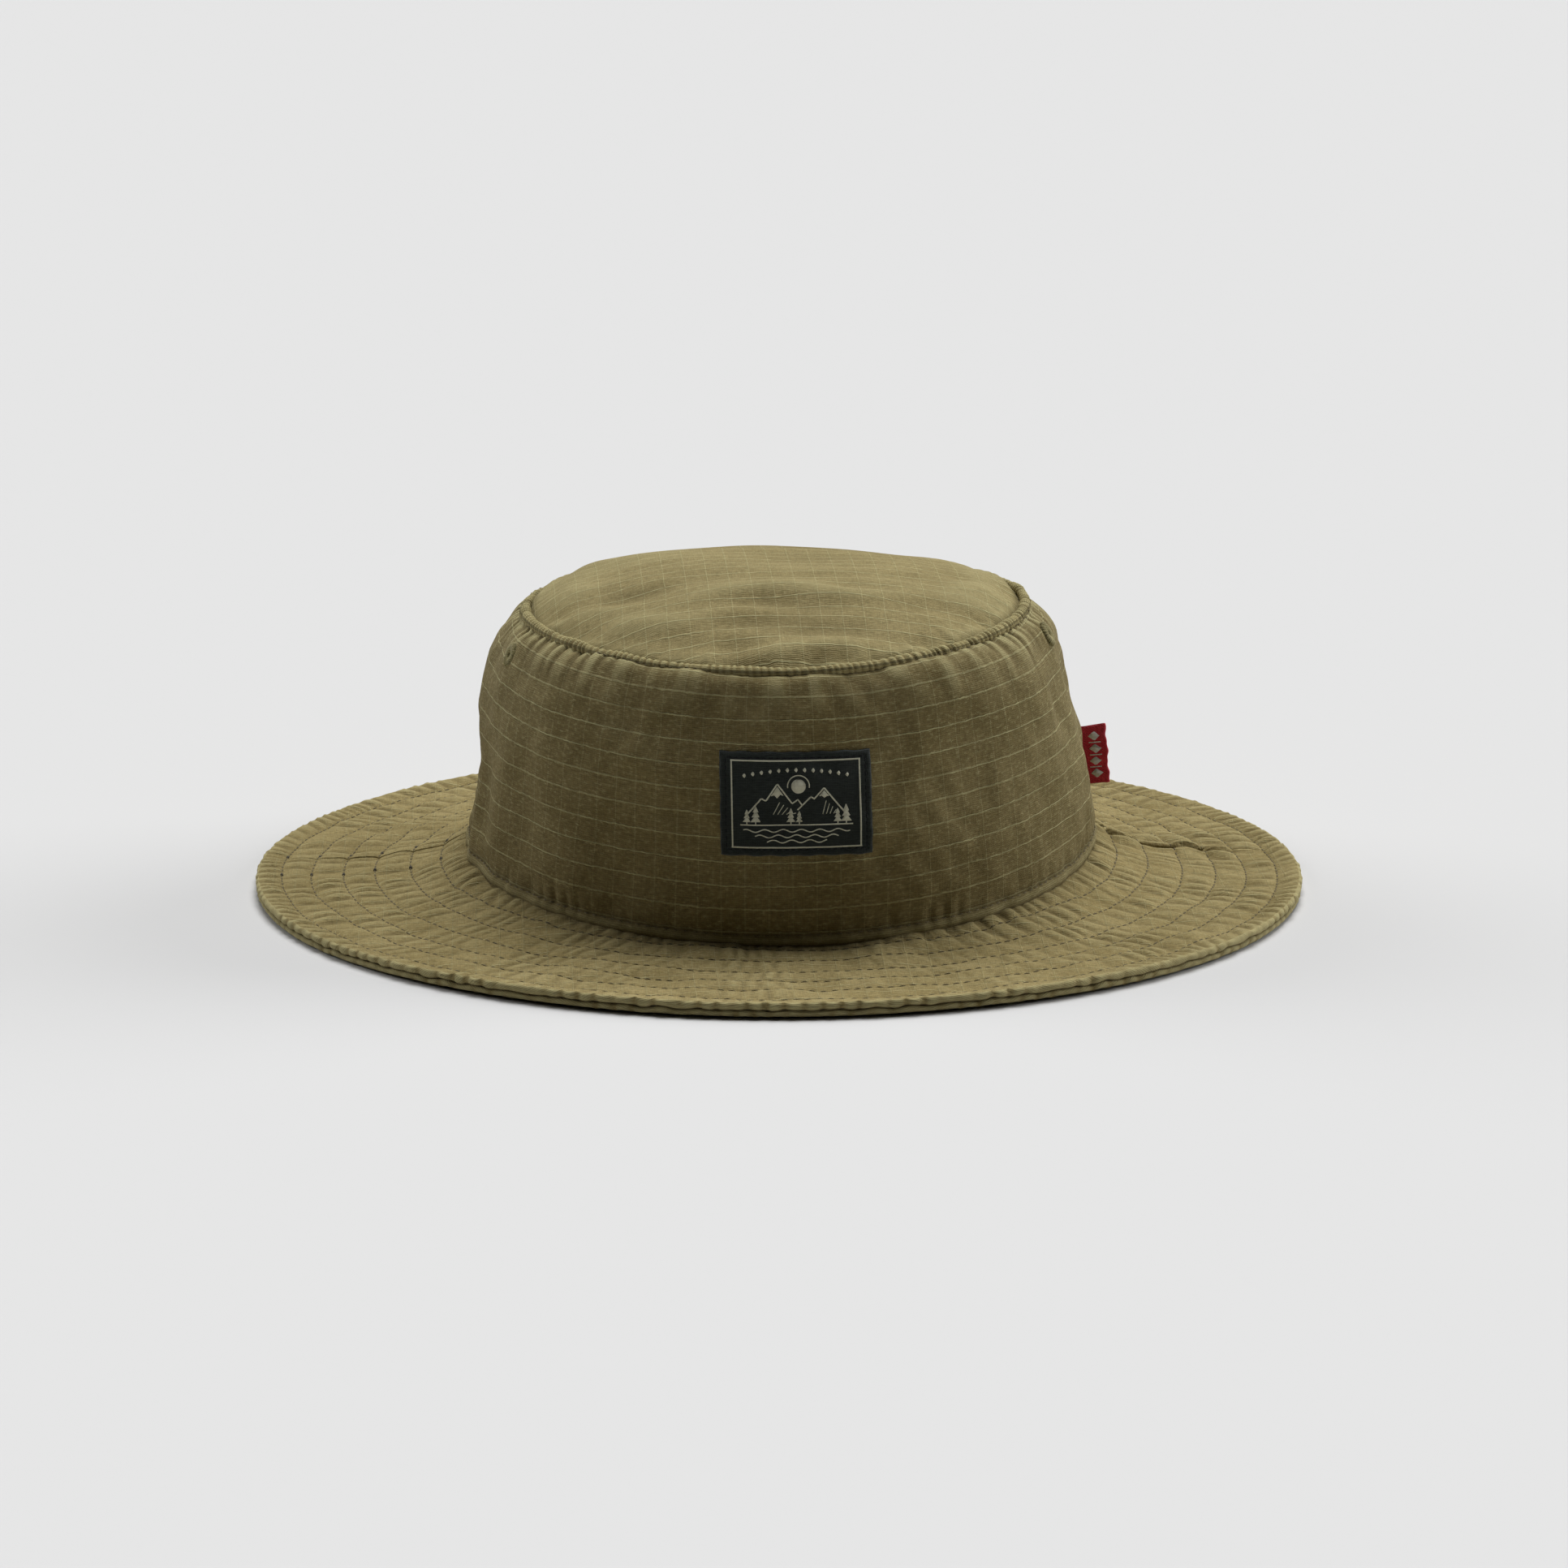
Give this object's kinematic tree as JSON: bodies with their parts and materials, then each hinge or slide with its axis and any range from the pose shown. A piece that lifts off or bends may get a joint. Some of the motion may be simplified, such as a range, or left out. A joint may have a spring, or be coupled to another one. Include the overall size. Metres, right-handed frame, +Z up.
{
  "type": "bucket hat",
  "caption": "Wide-brimmed bucket hat of olive cotton ripstop with a sewn crown, topstitched brim, side eyelets, front patch and side tab.",
  "frame": {"origin": "on the surface that the hat stands on, under the middle of the brim", "axes": "+Z up through the crown; the front of the hat, with the patch, faces -Y; +X is the wearer's left, where the tab is"},
  "size_m": [0.3084, 0.3132, 0.0966],
  "materials": {
    "crown_cloth": "olive cotton ripstop, matte",
    "brim_cloth": "olive cotton ripstop with rows of stitching, matte",
    "binding": "rolled seam of the same cloth, worn paler",
    "stiffener": "undyed stiff interlining",
    "sweatband_twill": "dense cotton twill, dark olive",
    "seam_tape": "plain woven tape, dark olive",
    "eyelet_thread": "dense polyester embroidery thread",
    "patch_weave": "tightly woven damask patch, near black with cream lines",
    "tab_weave": "red woven tape with small white marks",
    "label_satin": "white satin label tape"
  },
  "bodies": {
    "hat": {"crown_side_front": "crown_cloth", "crown_side_back": "crown_cloth", "crown_tip": "crown_cloth", "crown_welt": "binding", "eyelet_front_left": "eyelet_thread", "eyelet_front_right": "eyelet_thread", "eyelet_back_left": "eyelet_thread", "eyelet_back_right": "eyelet_thread", "sweatband": "sweatband_twill", "side_seam_tape_left": "seam_tape", "side_seam_tape_right": "seam_tape", "tip_seam_tape": "seam_tape", "size_label": "patch_weave", "front_patch": "patch_weave", "brim_top_front": "brim_cloth", "brim_top_back": "brim_cloth", "brim_stiffener_front": "stiffener", "brim_stiffener_back": "stiffener", "brim_under_front": "brim_cloth", "brim_under_back": "brim_cloth"},
    "front_brim": {"brim_top_front_flap": "brim_cloth", "brim_stiffener_front_flap": "stiffener", "brim_under_front_flap": "brim_cloth"},
    "back_brim": {"brim_top_back_flap": "brim_cloth", "brim_stiffener_back_flap": "stiffener", "brim_under_back_flap": "brim_cloth"},
    "side_tab": {"side_tab": "tab_weave"},
    "care_label": {"care_label": "label_satin"}
  },
  "joints": [
    {"name": "front_brim_turn", "type": "hinge", "parent": "hat", "child": "front_brim", "pos_m": [0, -0.106, 0.0047], "axis": [-1, 0, 0], "range_deg": [-20, 95]},
    {"name": "back_brim_turn", "type": "hinge", "parent": "hat", "child": "back_brim", "pos_m": [0, 0.106, 0.0082], "axis": [1, 0, 0], "range_deg": [-12, 95]},
    {"name": "tab_bend", "type": "hinge", "parent": "hat", "child": "side_tab", "pos_m": [0.0906, 0.0145, 0.0331], "axis": [-0.0872, 0, 0.9962], "range_deg": [-60, 60], "stiffness_Nm_per_rad": 0.002},
    {"name": "care_label_swing", "type": "hinge", "parent": "hat", "child": "care_label", "pos_m": [0, 0.0899, 0.052], "axis": [-1, 0, 0], "range_deg": [-6, 80]}
  ]
}
